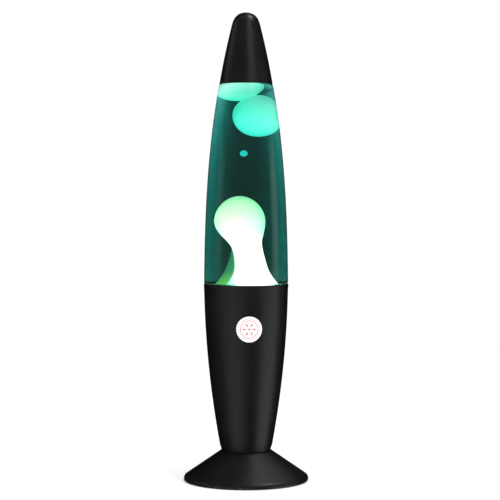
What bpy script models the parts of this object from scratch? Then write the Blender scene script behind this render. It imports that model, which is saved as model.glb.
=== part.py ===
"""Lava lamp: a rocket-shaped metal base with a small bulb in it, a sealed glass globe of liquid and wax
that stands in the base, and a pointed metal cap. Metres, +Z up, front towards -Y, with the origin under
the middle of the lamp on the surface that it stands on."""

import math

import bmesh
import bpy
from mathutils import Matrix, Vector

# Driving dimensions, in metres.
LAMP_TOP = 0.368
GAP = 0.0003  # left between pieces that touch
SHEET = 0.001  # spun sheet of the foot, the cup and the cap
BIG_ROUND = 28  # sides of a large turned piece
SMALL_ROUND = 16
TINY_ROUND = 10

LIP_Z = 0.0006  # the foot's rolled lip hangs just clear of the surface
LIP_RADIUS = 0.0491
INLET_Z = 0.0050
WAIST_Z = 0.0237  # top of the foot
WAIST_RADIUS = 0.0199
CUP_FLOOR_Z = WAIST_Z + GAP
RIM_Z = 0.155
RIM_RADIUS = 0.0334
GLOBE_BOTTOM_Z = 0.118
GLASS_WALL = 0.0022
NECK_Z = 0.3104  # where the globe's shoulder starts, under the cap's edge
CAP_EDGE_Z = 0.3115
CAP_DOME_Z = 0.3595  # the cap's straight flank ends here and its rounded tip starts
CAP_WALL = 0.00085
MOUTH_Z = 0.334
MOUTH_BORE = 0.008
LIQUID_TOP_Z = 0.321

NIPPLE_RADIUS = 0.0048
NIPPLE_BORE = 0.0033
NIPPLE_HOLE = 0.0052
NUT_CORNER_RADIUS = 0.0081
SOCKET_RADIUS = 0.012
SOCKET_BORE = 0.0095
SOCKET_Z = 0.036
SOCKET_FLOOR_Z = 0.041
SOCKET_TOP_Z = 0.061
SOCKET_SCREW_Z = 0.0385
BULB_RADIUS = 0.0175
BULB_CENTRE_Z = 0.0844

PLATE_Z = 0.0022
PLATE_THICKNESS = 0.0012
FLANGE_Z = PLATE_Z + PLATE_THICKNESS + GAP
PAD_ORBIT = 0.0375
PLATE_SCREW_ORBIT = 0.0425
PLATE_SCREW_ANGLES = (-90, 0, 180)  # the cord's inlet is at 90 degrees, at the back

LABEL_Z = 0.1213
LABEL_RADIUS = 0.010
LABEL_ANGLE = math.radians(-85.6)  # a little to the right of the front

# Wax. The column leans: each station is (height, x of its middle, radius).
COLUMN_STATIONS = (
    (0.1190, 0.0000, 0.0320),
    (0.1310, 0.0005, 0.0310),
    (0.1430, 0.0028, 0.0210),
    (0.1540, 0.0046, 0.0154),
    (0.1680, 0.0034, 0.0093),
    (0.1790, 0.0014, 0.0091),
    (0.1900, -0.0014, 0.0113),
    (0.2030, -0.0038, 0.0150),
)
COLUMN_HEAD_HEIGHT = 0.0206
BALL_CENTRE = (0.0063, -0.0025, 0.2868)
BALL_RADII = (0.0150, 0.0150, 0.0162)
TOP_WAX_CENTRE = (-0.0062, 0.0010, 0.3152)
TOP_WAX_RADII = (0.0170, 0.0160, 0.0171)
DROP_CENTRE = (-0.0014, -0.0020, 0.2567)
DROP_RADIUS = 0.0024
COIL_Z = 0.1258
COIL_ORBIT = 0.0200
COIL_RADIUS = 0.0031
COIL_TURNS = 16
COIL_STEPS = 7  # points on each turn of the wire
COIL_WIRE = 0.00045


# Outlines. Each is a list of (radius, height) pairs in metres.


def mm(*pairs):
    """Pairs written in millimetres, as metres."""
    return [(a * 0.001, b * 0.001) for a, b in pairs]


def near(radius, height, *pairs):
    """Pairs in millimetres, counted from a place on the outline."""
    return [(radius + a, height + b) for a, b in mm(*pairs)]


def steps(first, last, count):
    """Evenly spaced values from first to last."""
    return [first + (last - first) * i / count for i in range(count + 1)]


def cup_radius(z):
    """Outside radius of the tapered cup: it swells quickly above the waist and is nearly upright at the rim."""
    t = (z - 0.024) / 0.127
    return 0.0199 + 0.0240 * t - 0.0108 * t * t


def glass_radius(z):
    """Outside radius of the globe above its bulge."""
    h = (z - 0.156) / 0.156
    return 0.03313 - 0.00157 * h - 0.00407 * h**2 - 0.00645 * h**3


def cap_radius(z):
    """Outside radius of the cap's flank."""
    u = (z - CAP_EDGE_Z) / (CAP_DOME_Z - CAP_EDGE_Z)
    return 0.0210 - 0.0080 * u - 0.0022 * u * u


def smooth_curve(points, pieces):
    """Points on a Catmull-Rom curve through the given points."""
    vectors = [Vector(p) for p in points]
    padded = [2 * vectors[0] - vectors[1]] + vectors + [2 * vectors[-1] - vectors[-2]]
    found = []
    for a, b, c, d in zip(padded, padded[1:], padded[2:], padded[3:]):
        for i in range(pieces):
            t = i / pieces
            found.append(
                0.5
                * (2 * b + (c - a) * t + (2 * a - 5 * b + 4 * c - d) * t**2 + (3 * b - a - 3 * c + d) * t**3)
            )
    return found + [vectors[-1]]


def offset(outline, distance):
    """The outline moved sideways, to the left of its direction for a positive distance."""
    moved = []
    for i, here in enumerate(outline):
        before = Vector(outline[max(i - 1, 0)])
        after = Vector(outline[min(i + 1, len(outline) - 1)])
        along = (after - before).normalized()
        moved.append((max(here[0] - along.y * distance, 0), here[1] + along.x * distance))
    return moved


def arc(middle_z, radius, first, last, count):
    """Points of a circle centred on the axis, from one angle above the horizon to another, in degrees."""
    angles = [math.radians(a) for a in steps(first, last, count)]
    return [(radius * math.cos(a), middle_z + radius * math.sin(a)) for a in angles]


# Making objects.


def clear_scene():
    for thing in list(bpy.data.objects):
        bpy.data.objects.remove(thing)


def material(name, colour, roughness, metallic=0.0, transmission=0.0, glow=0.0):
    made = bpy.data.materials.new(name)
    made.use_nodes = True
    shader = made.node_tree.nodes["Principled BSDF"]
    shader.inputs["Base Color"].default_value = (*colour, 1)
    shader.inputs["Roughness"].default_value = roughness
    shader.inputs["Metallic"].default_value = metallic
    shader.inputs["Transmission Weight"].default_value = transmission
    shader.inputs["Emission Color"].default_value = (*colour, 1)
    shader.inputs["Emission Strength"].default_value = glow
    return made


def keep_mesh(name, bm, finish, sharp=32):
    """An object from a finished bmesh, shaded smooth but for its sharp edges."""
    bmesh.ops.remove_doubles(bm, verts=bm.verts, dist=1e-6)
    bmesh.ops.recalc_face_normals(bm, faces=bm.faces)
    mesh = bpy.data.meshes.new(name)
    bm.to_mesh(mesh)
    bm.free()
    mesh.shade_smooth()
    mesh.set_sharp_from_angle(angle=math.radians(sharp))
    if finish:
        mesh.materials.append(finish)
    made = bpy.data.objects.new(name, mesh)
    bpy.context.scene.collection.objects.link(made)
    return made


def turned(name, outline, finish, sides=BIG_ROUND):
    """A closed outline turned round Z. An outline that starts and ends on the axis is closed by it."""
    bm = bmesh.new()
    verts = [bm.verts.new((r, 0, z)) for r, z in outline]
    pairs = list(zip(verts, verts[1:]))
    if outline[0][0] > 0 or outline[-1][0] > 0:
        pairs.append((verts[-1], verts[0]))
    edges = [bm.edges.new(pair) for pair in pairs]
    bmesh.ops.spin(
        bm, geom=verts + edges, axis=(0, 0, 1), cent=(0, 0, 0), angle=math.tau, steps=sides, use_merge=True
    )
    return keep_mesh(name, bm, finish)


def extruded(name, outline, low_x, high_x, finish):
    """A flat outline of (y, z) points, extruded along X."""
    bm = bmesh.new()
    face = bm.faces.new([bm.verts.new((low_x, y, z)) for y, z in outline])
    grown = bmesh.ops.extrude_face_region(bm, geom=[face])
    moved = [v for v in grown["geom"] if isinstance(v, bmesh.types.BMVert)]
    bmesh.ops.translate(bm, verts=moved, vec=(high_x - low_x, 0, 0))
    return keep_mesh(name, bm, finish)


def block(name, low, high, finish, bevel=0.0):
    """A box between two corners, with its edges bevelled."""
    middle = (Vector(low) + Vector(high)) / 2
    size = Vector(high) - Vector(low)
    bm = bmesh.new()
    bmesh.ops.create_cube(bm, size=1, matrix=Matrix.LocRotScale(middle, None, size))
    if bevel:
        bmesh.ops.bevel(bm, geom=bm.edges, offset=bevel, segments=1, affect="EDGES")
    return keep_mesh(name, bm, finish)


def ellipsoid(name, middle, radii, finish, grow=0.0, sides=16, rings=11):
    """An egg shape, each of its radii larger by grow."""
    bm = bmesh.new()
    bmesh.ops.create_uvsphere(bm, u_segments=sides, v_segments=rings, radius=1)
    bmesh.ops.scale(bm, vec=[r + grow for r in radii], verts=bm.verts)
    bmesh.ops.translate(bm, vec=middle, verts=bm.verts)
    return keep_mesh(name, bm, finish)


def lofted(name, rings, finish, sides=16):
    """A solid through round level rings, each (height, x of its middle, radius). The last is a point."""
    bm = bmesh.new()
    loops = []
    for z, x, r in rings[:-1]:
        angles = [math.tau * i / sides for i in range(sides)]
        loops.append([bm.verts.new((x + r * math.cos(a), r * math.sin(a), z)) for a in angles])
    for low, high in zip(loops, loops[1:]):
        for i in range(sides):
            j = (i + 1) % sides
            bm.faces.new((low[i], low[j], high[j], high[i]))
    bm.faces.new(loops[0])
    tip = bm.verts.new((rings[-1][1], 0, rings[-1][0]))
    for i in range(sides):
        bm.faces.new((loops[-1][i], loops[-1][(i + 1) % sides], tip))
    return keep_mesh(name, bm, finish)


def wire(name, points, radius, finish, closed=False, smooth=True, pieces=3, roundness=1):
    """A round wire or insulated lead along points, as a bevelled curve."""
    data = bpy.data.curves.new(name, "CURVE")
    data.dimensions = "3D"
    data.bevel_depth = radius
    data.bevel_resolution = roundness
    data.use_fill_caps = True
    path = smooth_curve(points, pieces) if smooth else points
    spline = data.splines.new("POLY")
    spline.points.add(len(path) - 1)
    for place, target in zip(path, spline.points):
        target.co = (*place, 1)
    spline.use_cyclic_u = closed
    data.materials.append(finish)
    made = bpy.data.objects.new(name, data)
    bpy.context.scene.collection.objects.link(made)
    return made


def drills(name, places, radius, length, axis="Z", sides=TINY_ROUND):
    """Cutters in one object: a cylinder centred on each place, along an axis."""
    turn = {"X": Matrix.Rotation(math.pi / 2, 4, "Y"), "Y": Matrix.Rotation(math.pi / 2, 4, "X")}
    bm = bmesh.new()
    for place in places:
        where = Matrix.Translation(place) @ turn.get(axis, Matrix.Identity(4))
        bmesh.ops.create_cone(
            bm, cap_ends=True, segments=sides, radius1=radius, radius2=radius, depth=length, matrix=where
        )
    return keep_mesh(name, bm, None)


def cut(target, cutter, operation="DIFFERENCE"):
    """Cuts target by another object, or keeps only what the two share."""
    change = target.modifiers.new(cutter.name, "BOOLEAN")
    change.operation = operation
    change.solver = "EXACT"
    change.object = cutter
    cutter.hide_render = True
    cutter.display_type = "WIRE"


def shifted(thing, x=0.0, y=0.0, z=0.0, turn_x=0.0, turn_z=0.0):
    thing.location = (x, y, z)
    thing.rotation_euler = (turn_x, 0, turn_z)
    return thing


def round_about(orbit, degrees, z=0.0):
    """A place at a distance from the axis and a compass angle counted from +X."""
    a = math.radians(degrees)
    return (orbit * math.cos(a), orbit * math.sin(a), z)


def group(name, parts):
    """An empty on the lamp's axis that carries the pieces of one moving body."""
    empty = bpy.data.objects.new(name, None)
    bpy.context.scene.collection.objects.link(empty)
    for part in parts:
        part.parent = empty


# Finishes.

clear_scene()
PAINT = material("satin_black_paint", (0.012, 0.012, 0.013), 0.38)
GLASS = material("clear_glass", (0.95, 0.99, 0.98), 0.03, transmission=0.9)
LIQUID = material("teal_liquid", (0.0, 0.16, 0.14), 0.05, transmission=0.6)
WAX = material("glowing_wax", (0.62, 1.0, 0.80), 0.45, glow=0.4)
STEEL = material("zinc_plated_steel", (0.62, 0.63, 0.65), 0.35, metallic=1.0)
BRASS = material("brass", (0.78, 0.58, 0.28), 0.32, metallic=1.0)
NICKEL = material("nickel_plated_brass", (0.70, 0.68, 0.62), 0.28, metallic=1.0)
PHENOLIC = material("black_phenolic", (0.025, 0.022, 0.020), 0.45)
PLASTIC = material("black_plastic", (0.02, 0.02, 0.02), 0.5)
NATURAL = material("natural_nylon", (0.80, 0.78, 0.70), 0.45)
RUBBER = material("black_rubber", (0.018, 0.018, 0.018), 0.8)
SILICONE = material("clear_silicone", (0.75, 0.76, 0.74), 0.5)
TUNGSTEN = material("tungsten", (0.30, 0.29, 0.28), 0.4, metallic=1.0)
BLACK_LEAD = material("black_lead_insulation", (0.02, 0.02, 0.02), 0.5)
WHITE_LEAD = material("white_lead_insulation", (0.8, 0.8, 0.78), 0.5)
LABEL = material("white_label", (0.86, 0.86, 0.85), 0.45)


# The foot and what closes it underneath.


def foot_shell():
    """Flared cone with a level top, a rolled lip and a flange turned in under the cavity."""
    top = [(NIPPLE_HOLE, WAIST_Z), (0.0193, WAIST_Z), (WAIST_RADIUS, WAIST_Z - 0.0004)]
    flank_end = near(LIP_RADIUS, LIP_Z, (-3.4, 5.4), (-1.5, 3.9), (-0.3, 2.5))
    lip = near(LIP_RADIUS, LIP_Z, (0, 1.4), (-0.2, 0.5), (-0.9, 0), (-1.8, 0), (-2.4, 0.5))
    flange_top = FLANGE_Z + SHEET
    flange = [(0.0466, FLANGE_Z), (0.0390, FLANGE_Z), (0.0390, flange_top), (0.0449, flange_top)]
    under = near(WAIST_RADIUS, WAIST_Z - SHEET, (0.3, -0.3), (-0.6, 0))
    return turned(
        "foot_shell", top + flank_end + lip + flange + under + [(NIPPLE_HOLE, WAIST_Z - SHEET)], PAINT
    )


def inlet_arch(name, half_width, top_z, low_z, near_y, far_y, finish):
    """A round-topped block that lies along Y at the back of the foot."""
    middle_z = top_z - half_width
    bm = bmesh.new()
    crown = [math.radians(a) for a in steps(0, 180, 8)]
    outline = [(half_width, low_z)]
    outline += [(half_width * math.cos(a), middle_z + half_width * math.sin(a)) for a in crown]
    outline += [(-half_width, low_z)]
    face = bm.faces.new([bm.verts.new((x, near_y, z)) for x, z in outline])
    grown = bmesh.ops.extrude_face_region(bm, geom=[face])
    moved = [v for v in grown["geom"] if isinstance(v, bmesh.types.BMVert)]
    bmesh.ops.translate(bm, verts=moved, vec=(0, far_y - near_y, 0))
    return keep_mesh(name, bm, finish)


def cord_inlet():
    """Rubber bush in a notch at the back of the foot, bored for a two-core cord."""
    bush = inlet_arch("cord_inlet_bush", 0.0035, INLET_Z + 0.0036, 0.0011, 0.0405, LIP_RADIUS, RUBBER)
    cut(bush, drills("inlet_bore", [(0, LIP_RADIUS, INLET_Z)], 0.0019, 0.03, "Y", 12))
    return bush


def foot_parts():
    foot = foot_shell()
    plate = turned(
        "bottom_plate",
        [
            (0, PLATE_Z),
            (0.0460, PLATE_Z),
            (0.0463, PLATE_Z + 0.0003),
            (0.0463, PLATE_Z + PLATE_THICKNESS),
            (0, PLATE_Z + PLATE_THICKNESS),
        ],
        PLASTIC,
    )
    notch = inlet_arch("inlet_notch", 0.0038, INLET_Z + 0.0039, -0.002, 0.0375, 0.052, None)
    screw_places = [round_about(PLATE_SCREW_ORBIT, a, FLANGE_Z) for a in PLATE_SCREW_ANGLES]
    screw_holes = drills("plate_screw_holes", screw_places, 0.00125, 0.006)
    vents = drills("plate_vents", [round_about(0.012, a, PLATE_Z) for a in range(0, 360, 45)], 0.0017, 0.006)
    cut(foot, notch)
    cut(foot, screw_holes)
    cut(plate, notch)
    cut(plate, screw_holes)
    cut(plate, vents)
    made = [foot, plate, cord_inlet()]
    for i, angle in enumerate((-45, 45, 135, 225), 1):
        pad = turned(f"foot_pad_{i}", mm((0, 0), (5.6, 0), (6, 0.4), (6, 1.9), (0, 1.9)), RUBBER, SMALL_ROUND)
        made.append(shifted(pad, *round_about(PAD_ORBIT, angle)))
    for i, place in enumerate(screw_places, 1):
        outline = mm((0, 0.8), (1.6, 0.8), (2.1, 1.2), (2.1, 1.9), (0.95, 1.9), (0.95, 5.8), (0, 6.5))
        screw = turned(f"plate_screw_{i}", outline, STEEL, 12)
        made.append(shifted(screw, place[0], place[1]))
    return made


def supply_parts():
    """Two-pole terminal block in the foot, and the leads from it up through the nipple to the socket."""
    body = block("terminal_block", (-0.009, 0.016, 0.0037), (0.009, 0.028, 0.0117), NATURAL, 0.0006)
    poles = [(-0.0045, 0.022, 0.0117), (0.0045, 0.022, 0.0117)]
    cut(body, drills("terminal_screw_holes", poles, 0.0020, 0.004))
    made = [body]
    for side, finish, word in ((-1, BLACK_LEAD, "live"), (1, WHITE_LEAD, "neutral")):
        screw = turned(f"block_screw_{word}", mm((0, 10.2), (1.6, 10.2), (1.6, 12.1), (0, 12.1)), BRASS, 12)
        made.append(shifted(screw, side * 0.0045, 0.022))
        route = [
            (side * 0.0045, 0.0156, 0.0080),
            (side * 0.0038, 0.0110, 0.0078),
            (side * 0.0020, 0.0040, 0.0098),
            (side * 0.0015, 0.0003, 0.0150),
            (side * 0.0015, 0.0000, 0.0220),
            (side * 0.0015, 0.0000, 0.0300),
            (side * 0.0032, 0.0000, 0.0334),
            (side * 0.0080, 0.0000, 0.0340),
            (side * 0.0126, 0.0000, 0.0342),
            (side * 0.0142, 0.0000, 0.0358),
        ]
        made.append(wire(f"lead_{word}", route, 0.0010, finish, pieces=2))
    return made


# The threaded tube that holds foot, cup and socket together.


def hex_nut(name, low_z, high_z):
    bm = bmesh.new()
    middle = Matrix.Translation((0, 0, (low_z + high_z) / 2))
    size = NUT_CORNER_RADIUS
    bmesh.ops.create_cone(
        bm, cap_ends=True, segments=6, radius1=size, radius2=size, depth=high_z - low_z, matrix=middle
    )
    nut = keep_mesh(name, bm, STEEL)
    cut(nut, drills(name + "_bore", [(0, 0, low_z)], NIPPLE_RADIUS + GAP, 0.02, sides=SMALL_ROUND))
    return nut


def spine_parts():
    nipple_outline = [
        (NIPPLE_BORE, 0.0150),
        (NIPPLE_RADIUS - 0.0003, 0.0150),
        (NIPPLE_RADIUS, 0.0153),
        (NIPPLE_RADIUS, 0.0312),
        (NIPPLE_RADIUS - 0.0003, 0.0315),
        (NIPPLE_BORE, 0.0315),
    ]
    washer_outline = mm((5.2, 21.4), (8.2, 21.4), (8.2, 22.4), (5.2, 22.4))
    return [
        turned("threaded_nipple", nipple_outline, STEEL, SMALL_ROUND),
        turned("lock_washer", washer_outline, STEEL, SMALL_ROUND),
        hex_nut("nut_lower", 0.0176, 0.0211),
        hex_nut("nut_upper", 0.0266, 0.0298),
    ]


# The cup.


def cup_shell():
    floor = [(NIPPLE_HOLE, CUP_FLOOR_Z), (0.0192, CUP_FLOOR_Z), (0.0198, CUP_FLOOR_Z + 0.0003)]
    heights = steps(CUP_FLOOR_Z + 0.0040, 0.1500, 6)
    wall = [(cup_radius(z), z) for z in heights]
    roll = ((0, -3.0), (0, -0.8), (-0.25, -0.2), (-0.65, 0), (-1.1, -0.2), (-1.3, -0.8))
    bead = near(RIM_RADIUS, RIM_Z, *roll)
    inside = [(cup_radius(z) - SHEET, z) for z in reversed(heights)]
    inside_floor = [(0.0189, CUP_FLOOR_Z + SHEET), (NIPPLE_HOLE, CUP_FLOOR_Z + SHEET)]
    cup = turned("cup_shell", floor + wall + bead + inside + inside_floor, PAINT)
    vents = [round_about(0.0150, a, CUP_FLOOR_Z) for a in range(30, 390, 60)]
    cut(cup, drills("cup_vents", vents, 0.0016, 0.004))
    return cup


def globe_seat():
    """Pressed ring that wedges in the cup's taper and carries the globe on a level ledge."""
    skirt = [(cup_radius(z) - SHEET - 0.00035, z) for z in (0.1160, 0.1120, 0.1080)]
    inner = [(r - 0.0009, z) for r, z in reversed(skirt[1:])]
    ledge = mm((28.8, 115.2), (22.4, 115.2), (22.0, 114.4), (21.2, 114.4), (21.6, 116.0), (22.0, 116.2))
    return turned("globe_seat", skirt + inner + ledge, STEEL)


def label_patch():
    """Round label that follows the cup's curve."""
    bm = bmesh.new()
    sides, rings = 24, 3

    def place(ring, i, stand_off):
        a = math.tau * i / sides
        along = LABEL_RADIUS * ring / rings * math.cos(a)
        z = LABEL_Z + LABEL_RADIUS * ring / rings * math.sin(a)
        r = cup_radius(z) + stand_off
        turn = LABEL_ANGLE + along / cup_radius(LABEL_Z)
        return bm.verts.new((r * math.cos(turn), r * math.sin(turn), z))

    loops = []
    for stand_off, order in ((0.0004, range(1, rings + 1)), (0.00025, range(rings, 0, -1))):
        loops += [[place(ring, i, stand_off) for i in range(sides)] for ring in order]
    poles = (place(0, 0, 0.0004), place(0, 0, 0.00025))
    for one, other in zip(loops, loops[1:]):
        for i in range(sides):
            j = (i + 1) % sides
            bm.faces.new((one[i], one[j], other[j], other[i]))
    for pole, loop in zip(poles, (loops[0], loops[-1])):
        for i in range(sides):
            bm.faces.new((loop[i], loop[(i + 1) % sides], pole))
    return keep_mesh("front_label", bm, LABEL)


def cup_parts():
    gasket_outline = mm((22.8, 116.5), (28.6, 116.5), (28.6, 117.7), (22.8, 117.7))
    return [cup_shell(), globe_seat(), turned("seat_gasket", gasket_outline, SILICONE), label_patch()]


# The socket.


def socket_parts():
    body = turned(
        "socket_body",
        [
            (0, SOCKET_Z),
            (SOCKET_RADIUS, SOCKET_Z),
            (SOCKET_RADIUS, SOCKET_TOP_Z - 0.0005),
            (SOCKET_RADIUS - 0.0005, SOCKET_TOP_Z),
            (SOCKET_BORE, SOCKET_TOP_Z),
            (SOCKET_BORE, SOCKET_FLOOR_Z),
            (0, SOCKET_FLOOR_Z),
        ],
        PHENOLIC,
        SMALL_ROUND,
    )
    shell = turned(
        "socket_screw_shell",
        mm((5.9, 42.0), (9.0, 42.0), (9.2, 42.2), (9.2, 60.4), (8.7, 60.4), (8.7, 42.6), (5.9, 42.6)),
        BRASS,
        SMALL_ROUND,
    )
    leaf_outline = mm((-4.4, 41.3), (4.4, 41.3), (4.4, 41.6), (1.0, 42.8), (-1.0, 42.8), (-4.4, 41.6))
    leaf = extruded("socket_contact", leaf_outline, -0.0018, 0.0018, BRASS)
    screw_places = [(-0.012, 0, SOCKET_SCREW_Z), (0.012, 0, SOCKET_SCREW_Z)]
    cut(body, drills("side_screw_holes", screw_places, 0.0013, 0.008, "X"))
    cut(body, drills("back_screw_hole", [(0, 0.012, SOCKET_SCREW_Z)], 0.0013, 0.010, "Y"))
    made = [body, shell, leaf]
    head_and_shank = mm((0, 0), (1.9, 0), (2.1, -0.2), (2.1, -1.4), (1.0, -1.4), (1.0, -4.6), (0, -4.6))
    for name, finish, place, turn_z in (
        ("socket_screw_live", BRASS, (-0.0138, 0), -math.pi / 2),
        ("socket_screw_neutral", NICKEL, (0.0138, 0), math.pi / 2),
        ("bracket_screw", STEEL, (0, 0.0152), math.pi),
    ):
        screw = turned(name, head_and_shank, finish, 12)
        made.append(shifted(screw, *place, SOCKET_SCREW_Z, turn_x=math.pi / 2, turn_z=turn_z))
    made.append(socket_bracket())
    return made


def socket_bracket():
    """Bent steel strap from the nipple up the back of the socket."""
    low, high = CUP_FLOOR_Z + SHEET + GAP, 0.0430
    near, inner, outer = -0.0075, SOCKET_RADIUS + GAP, SOCKET_RADIUS + GAP + SHEET
    outline = [
        (near, low),
        (outer - 0.0008, low),
        (outer, low + 0.0008),
        (outer, high),
        (inner, high),
        (inner, low + SHEET),
        (near, low + SHEET),
    ]
    strap = extruded("socket_bracket", outline, -0.0060, 0.0060, STEEL)
    cut(strap, drills("bracket_nipple_hole", [(0, 0, low)], NIPPLE_HOLE, 0.005, sides=SMALL_ROUND))
    cut(strap, drills("bracket_screw_hole", [(0, outer, SOCKET_SCREW_Z)], 0.0013, 0.004, "Y"))
    return strap


# The bulb.


def bulb_parts():
    """Clear round bulb with a small screw base. Only its centre contact doesn't look as if it turned."""
    contact = turned(
        "bulb_contact",
        mm((0, 43.2), (2.2, 43.4), (3.1, 44.4), (3.1, 45.0), (0, 45.0)),
        NICKEL,
        SMALL_ROUND,
    )
    insulator = turned(
        "bulb_insulator",
        mm((0, 45.3), (3.4, 45.3), (4.8, 46.3), (7.4, 49.2), (7.4, 49.8), (0, 49.8)),
        PHENOLIC,
        SMALL_ROUND,
    )
    shell = turned(
        "bulb_screw_shell",
        mm((7.6, 50.1), (7.9, 50.1), (8.2, 50.6), (8.2, 61.8), (8.0, 62.3), (7.7, 62.3), (7.6, 61.8)),
        NICKEL,
        SMALL_ROUND,
    )
    outside = mm((7.2, 52.0), (7.2, 63.5), (8.6, 66.3)) + arc(BULB_CENTRE_Z, BULB_RADIUS, -42, 90, 7)
    inside = mm((6.6, 52.0), (6.6, 63.8), (8.1, 66.8)) + arc(BULB_CENTRE_Z, BULB_RADIUS - 0.0006, -42, 90, 7)
    envelope = turned("bulb_glass", outside + inside[::-1], GLASS, 20)
    stem = turned(
        "bulb_stem", mm((0, 52.4), (6.1, 52.4), (5.4, 54.0), (2.8, 58.5), (2.0, 70), (0, 70.5)), GLASS, 12
    )
    made = [contact, insulator, shell, envelope, stem]
    for side, word in ((-1, "left"), (1, "right")):
        route = [(side * 0.0008, 0, 0.0710), (side * 0.0016, 0, 0.0740), (side * 0.0062, 0, 0.0830)]
        made.append(wire(f"bulb_lead_{word}", route, 0.0003, NICKEL, pieces=2))
    heights = (0.0840, 0.0885, 0.0845, 0.0900, 0.0845, 0.0885, 0.0840)
    zigzag = [(-0.0057 + 0.0019 * i, 0, z) for i, z in enumerate(heights)]
    made.append(wire("bulb_filament", zigzag, 0.0002, TUNGSTEN, smooth=False))
    return made


# The globe. Its inside is shared by the glass, the liquid and the wax.


def inside_outline():
    """The glass's inner face, from the middle of the floor up to the mouth."""
    floor = near(0, GLOBE_BOTTOM_Z, (0, 3.8), (22.6, 3.4), (26.4, 5.6), (28.2, 11.0))
    lower = near(0, RIM_Z, (30.1, -4.0), (30.6, 0.5))
    wall = [(glass_radius(z) - GLASS_WALL, z) for z in steps(0.1620, 0.3060, 5)]
    neck = near(0, MOUTH_Z, (17.4, -22.6), (15.2, -16.6), (11.8, -10.7)) + [(MOUTH_BORE, MOUTH_Z - 0.005)]
    return floor + lower + wall + neck


def outside_outline():
    """The glass's outer face, from the middle of its hollowed bottom up to the mouth."""
    bottom = near(0, GLOBE_BOTTOM_Z, (0, 1.4), (22.0, 0.6), (25, 0), (28.3, 1.0), (30.2, 5.6))
    shoulder = near(0, RIM_Z, (31.75, -2.1), (31.9, -0.1), (32.3, 0.45), (33.0, 0.85))
    wall = [(glass_radius(z), z) for z in steps(0.1600, NECK_Z, 6)]
    neck = near(0, NECK_Z, (20.7, 0.7), (19.6, 1.7), (17.6, 7.2), (12.6, 16.6))
    finish = near(MOUTH_BORE, MOUTH_Z, (4.5, -5.4), (5.3, -4.4), (5.3, -1.1), (4.6, 0), (0, 0))
    return bottom + shoulder + wall + neck + finish


def filling(name, finish, top_z):
    """The room inside the glass up to a level, clear of the wall."""
    outline = [p for p in offset(inside_outline(), GAP) if p[1] < top_z - 0.001]
    (r0, z0), (r1, z1) = outline[-1], offset(inside_outline(), GAP)[len(outline)]
    outline.append((r0 + (r1 - r0) * (top_z - z0) / (z1 - z0), top_z))
    return turned(name, outline + [(0, top_z)], finish)


def column_rings(grow):
    """Rings of the leaning wax column, larger by grow, ending in the dome of its head."""
    rings = [(z, x, r + grow) for z, x, r in smooth_curve(COLUMN_STATIONS, 2)]
    base_z, x, r = rings[-1]
    for angle in steps(0, math.pi / 2, 6)[1:]:
        rings.append((base_z + (COLUMN_HEAD_HEIGHT + grow) * math.sin(angle), x, r * math.cos(angle)))
    return rings


def wax_drop():
    drop = ellipsoid("wax_drop", (0, 0, 0), [DROP_RADIUS] * 3, WAX, sides=12, rings=8)
    return shifted(drop, *DROP_CENTRE)


def heating_coil():
    """Wire spring bent into a ring, which lies on the globe's floor and spreads the heat."""
    count = COIL_TURNS * COIL_STEPS
    points = []
    for i in range(count):
        wind = math.tau * i / COIL_STEPS
        turn = math.tau * i / count
        r = COIL_ORBIT + COIL_RADIUS * math.cos(wind)
        points.append((r * math.cos(turn), r * math.sin(turn), COIL_Z + COIL_RADIUS * math.sin(wind)))
    return wire("heating_coil", points, COIL_WIRE, STEEL, closed=True, smooth=False, roundness=0)


def wax_and_liquid():
    column = lofted("wax_column", column_rings(0), WAX)
    column_room = lofted("column_room", column_rings(GAP), None)
    cut(column, filling("column_limit", None, LIQUID_TOP_Z), "INTERSECT")
    reach = COIL_RADIUS + COIL_WIRE + 0.0004
    groove = [
        (COIL_ORBIT - reach, 0.1190),
        (COIL_ORBIT + reach, 0.1190),
        (COIL_ORBIT + reach, COIL_Z + reach),
        (COIL_ORBIT - reach, COIL_Z + reach),
    ]
    cut(column, turned("coil_groove", groove, None))
    ball = ellipsoid("wax_ball", BALL_CENTRE, BALL_RADII, WAX)
    ball_room = ellipsoid("ball_room", BALL_CENTRE, BALL_RADII, None, GAP)
    top = ellipsoid("wax_top", TOP_WAX_CENTRE, TOP_WAX_RADII, WAX)
    top_room = ellipsoid("top_room", TOP_WAX_CENTRE, TOP_WAX_RADII, None, GAP)
    cut(top, filling("top_limit", None, LIQUID_TOP_Z - GAP), "INTERSECT")
    cut(top, ball_room)
    low, high = 0.2150, BALL_CENTRE[2] - 0.010
    drop_room = drills(
        "drop_room",
        [(DROP_CENTRE[0], DROP_CENTRE[1], (low + high) / 2)],
        DROP_RADIUS + 0.0005,
        high - low,
        sides=12,
    )
    liquid = filling("liquid", LIQUID, LIQUID_TOP_Z)
    for room in (column_room, ball_room, top_room, drop_room):
        cut(liquid, room)
    return [liquid, column, ball, top]


def globe_parts():
    crown_top = ((0, 1.7), (12.3, 1.7), (13.8, 0.9), (14.3, -0.6), (14.4, -3.8), (14.2, -4.1))
    crown_under = ((13.8, -4.0), (13.65, -0.6), (13.2, 0.6), (12.4, 1.1), (0, 1.1))
    liner = near(0, MOUTH_Z, (0, 0.3), (12.0, 0.3), (12.0, 0.8), (0, 0.8))
    return [
        turned("glass_globe", outside_outline() + inside_outline()[::-1], GLASS),
        *wax_and_liquid(),
        heating_coil(),
        turned("crown_cap", near(0, MOUTH_Z, *crown_top, *crown_under), STEEL, SMALL_ROUND),
        turned("crown_liner", liner, NATURAL, SMALL_ROUND),
    ]


# The cap.


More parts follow.
